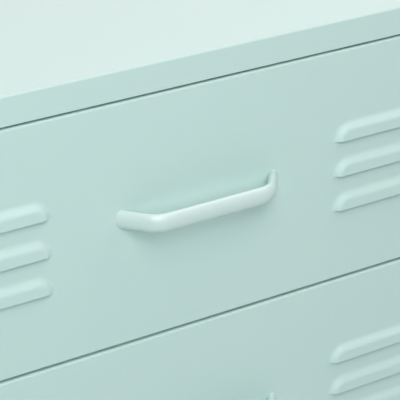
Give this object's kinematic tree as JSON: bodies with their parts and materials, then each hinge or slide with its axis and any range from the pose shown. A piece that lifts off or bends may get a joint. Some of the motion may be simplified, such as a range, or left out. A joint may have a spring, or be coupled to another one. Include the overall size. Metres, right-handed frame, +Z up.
{
  "type": "drawer cabinet",
  "caption": "Free-standing painted steel drawer cabinet with louvred drawer fronts, bow handles, ball-bearing slides and short tapered legs.",
  "frame": {"origin": "on the floor under the middle of the outer box, handles included", "axes": "+Z up, +Y from the drawer fronts to the back, +X to the right seen from the front"},
  "size_m": [0.8, 0.3785, 1.015],
  "materials": {
    "mint_coat": "satin",
    "zinc_slides": "satin",
    "zinc_fasteners": "satin",
    "glide_plastic": "matte"
  },
  "bodies": {
    "carcass": {"top_panel": "mint_coat", "base_panel": "mint_coat", "left_side_panel": "mint_coat", "right_side_panel": "mint_coat", "back_panel": "mint_coat", "crossbar_1": "mint_coat", "crossbar_2": "mint_coat", "crossbar_3": "mint_coat", "front_left_leg": "mint_coat", "front_right_leg": "mint_coat", "rear_left_leg": "mint_coat", "rear_right_leg": "mint_coat", "leg_glides": "glide_plastic", "leg_bolts": "zinc_fasteners", "carcass_screws": "zinc_fasteners", "slide_screws": "zinc_fasteners", "drawer_1_cabinet_slides": "zinc_slides", "drawer_2_cabinet_slides": "zinc_slides", "drawer_3_cabinet_slides": "zinc_slides", "drawer_4_cabinet_slides": "zinc_slides"},
    "drawer_1": {"drawer_1_front": "mint_coat", "drawer_1_floor": "mint_coat", "drawer_1_sides": "mint_coat", "drawer_1_back": "mint_coat", "drawer_1_handle": "mint_coat", "drawer_1_screws": "zinc_fasteners", "drawer_1_drawer_slides": "zinc_slides"},
    "drawer_1_middle_slides": {"drawer_1_middle_slides": "zinc_slides"},
    "drawer_1_outer_ball_cages": {"drawer_1_outer_ball_cages": "zinc_slides"},
    "drawer_1_inner_ball_cages": {"drawer_1_inner_ball_cages": "zinc_slides"},
    "drawer_2": {"drawer_2_front": "mint_coat", "drawer_2_floor": "mint_coat", "drawer_2_sides": "mint_coat", "drawer_2_back": "mint_coat", "drawer_2_handle": "mint_coat", "drawer_2_screws": "zinc_fasteners", "drawer_2_drawer_slides": "zinc_slides"},
    "drawer_2_middle_slides": {"drawer_2_middle_slides": "zinc_slides"},
    "drawer_2_outer_ball_cages": {"drawer_2_outer_ball_cages": "zinc_slides"},
    "drawer_2_inner_ball_cages": {"drawer_2_inner_ball_cages": "zinc_slides"},
    "drawer_3": {"drawer_3_front": "mint_coat", "drawer_3_floor": "mint_coat", "drawer_3_sides": "mint_coat", "drawer_3_back": "mint_coat", "drawer_3_handle": "mint_coat", "drawer_3_screws": "zinc_fasteners", "drawer_3_drawer_slides": "zinc_slides"},
    "drawer_3_middle_slides": {"drawer_3_middle_slides": "zinc_slides"},
    "drawer_3_outer_ball_cages": {"drawer_3_outer_ball_cages": "zinc_slides"},
    "drawer_3_inner_ball_cages": {"drawer_3_inner_ball_cages": "zinc_slides"},
    "drawer_4": {"drawer_4_front": "mint_coat", "drawer_4_floor": "mint_coat", "drawer_4_sides": "mint_coat", "drawer_4_back": "mint_coat", "drawer_4_handle": "mint_coat", "drawer_4_screws": "zinc_fasteners", "drawer_4_drawer_slides": "zinc_slides"},
    "drawer_4_middle_slides": {"drawer_4_middle_slides": "zinc_slides"},
    "drawer_4_outer_ball_cages": {"drawer_4_outer_ball_cages": "zinc_slides"},
    "drawer_4_inner_ball_cages": {"drawer_4_inner_ball_cages": "zinc_slides"}
  },
  "joints": [
    {"name": "drawer_1_slide", "type": "slide", "parent": "carcass", "child": "drawer_1", "axis": [0, -1, 0], "range_m": [0, 0.29]},
    {"name": "drawer_1_middle_slides_travel", "type": "slide", "parent": "carcass", "child": "drawer_1_middle_slides", "axis": [0, -1, 0], "range_m": [0, 0.145]},
    {"name": "drawer_1_outer_ball_cages_travel", "type": "slide", "parent": "carcass", "child": "drawer_1_outer_ball_cages", "axis": [0, -1, 0], "range_m": [0, 0.0725]},
    {"name": "drawer_1_inner_ball_cages_travel", "type": "slide", "parent": "carcass", "child": "drawer_1_inner_ball_cages", "axis": [0, -1, 0], "range_m": [0, 0.2175]},
    {"name": "drawer_2_slide", "type": "slide", "parent": "carcass", "child": "drawer_2", "axis": [0, -1, 0], "range_m": [0, 0.29]},
    {"name": "drawer_2_middle_slides_travel", "type": "slide", "parent": "carcass", "child": "drawer_2_middle_slides", "axis": [0, -1, 0], "range_m": [0, 0.145]},
    {"name": "drawer_2_outer_ball_cages_travel", "type": "slide", "parent": "carcass", "child": "drawer_2_outer_ball_cages", "axis": [0, -1, 0], "range_m": [0, 0.0725]},
    {"name": "drawer_2_inner_ball_cages_travel", "type": "slide", "parent": "carcass", "child": "drawer_2_inner_ball_cages", "axis": [0, -1, 0], "range_m": [0, 0.2175]},
    {"name": "drawer_3_slide", "type": "slide", "parent": "carcass", "child": "drawer_3", "axis": [0, -1, 0], "range_m": [0, 0.29]},
    {"name": "drawer_3_middle_slides_travel", "type": "slide", "parent": "carcass", "child": "drawer_3_middle_slides", "axis": [0, -1, 0], "range_m": [0, 0.145]},
    {"name": "drawer_3_outer_ball_cages_travel", "type": "slide", "parent": "carcass", "child": "drawer_3_outer_ball_cages", "axis": [0, -1, 0], "range_m": [0, 0.0725]},
    {"name": "drawer_3_inner_ball_cages_travel", "type": "slide", "parent": "carcass", "child": "drawer_3_inner_ball_cages", "axis": [0, -1, 0], "range_m": [0, 0.2175]},
    {"name": "drawer_4_slide", "type": "slide", "parent": "carcass", "child": "drawer_4", "axis": [0, -1, 0], "range_m": [0, 0.29]},
    {"name": "drawer_4_middle_slides_travel", "type": "slide", "parent": "carcass", "child": "drawer_4_middle_slides", "axis": [0, -1, 0], "range_m": [0, 0.145]},
    {"name": "drawer_4_outer_ball_cages_travel", "type": "slide", "parent": "carcass", "child": "drawer_4_outer_ball_cages", "axis": [0, -1, 0], "range_m": [0, 0.0725]},
    {"name": "drawer_4_inner_ball_cages_travel", "type": "slide", "parent": "carcass", "child": "drawer_4_inner_ball_cages", "axis": [0, -1, 0], "range_m": [0, 0.2175]}
  ],
  "couplings": [
    {"joint": "drawer_1_middle_slides_travel", "follows": "drawer_1_slide", "ratio": 0.5},
    {"joint": "drawer_1_outer_ball_cages_travel", "follows": "drawer_1_slide", "ratio": 0.25},
    {"joint": "drawer_1_inner_ball_cages_travel", "follows": "drawer_1_slide", "ratio": 0.75},
    {"joint": "drawer_2_middle_slides_travel", "follows": "drawer_2_slide", "ratio": 0.5},
    {"joint": "drawer_2_outer_ball_cages_travel", "follows": "drawer_2_slide", "ratio": 0.25},
    {"joint": "drawer_2_inner_ball_cages_travel", "follows": "drawer_2_slide", "ratio": 0.75},
    {"joint": "drawer_3_middle_slides_travel", "follows": "drawer_3_slide", "ratio": 0.5},
    {"joint": "drawer_3_outer_ball_cages_travel", "follows": "drawer_3_slide", "ratio": 0.25},
    {"joint": "drawer_3_inner_ball_cages_travel", "follows": "drawer_3_slide", "ratio": 0.75},
    {"joint": "drawer_4_middle_slides_travel", "follows": "drawer_4_slide", "ratio": 0.5},
    {"joint": "drawer_4_outer_ball_cages_travel", "follows": "drawer_4_slide", "ratio": 0.25},
    {"joint": "drawer_4_inner_ball_cages_travel", "follows": "drawer_4_slide", "ratio": 0.75}
  ]
}
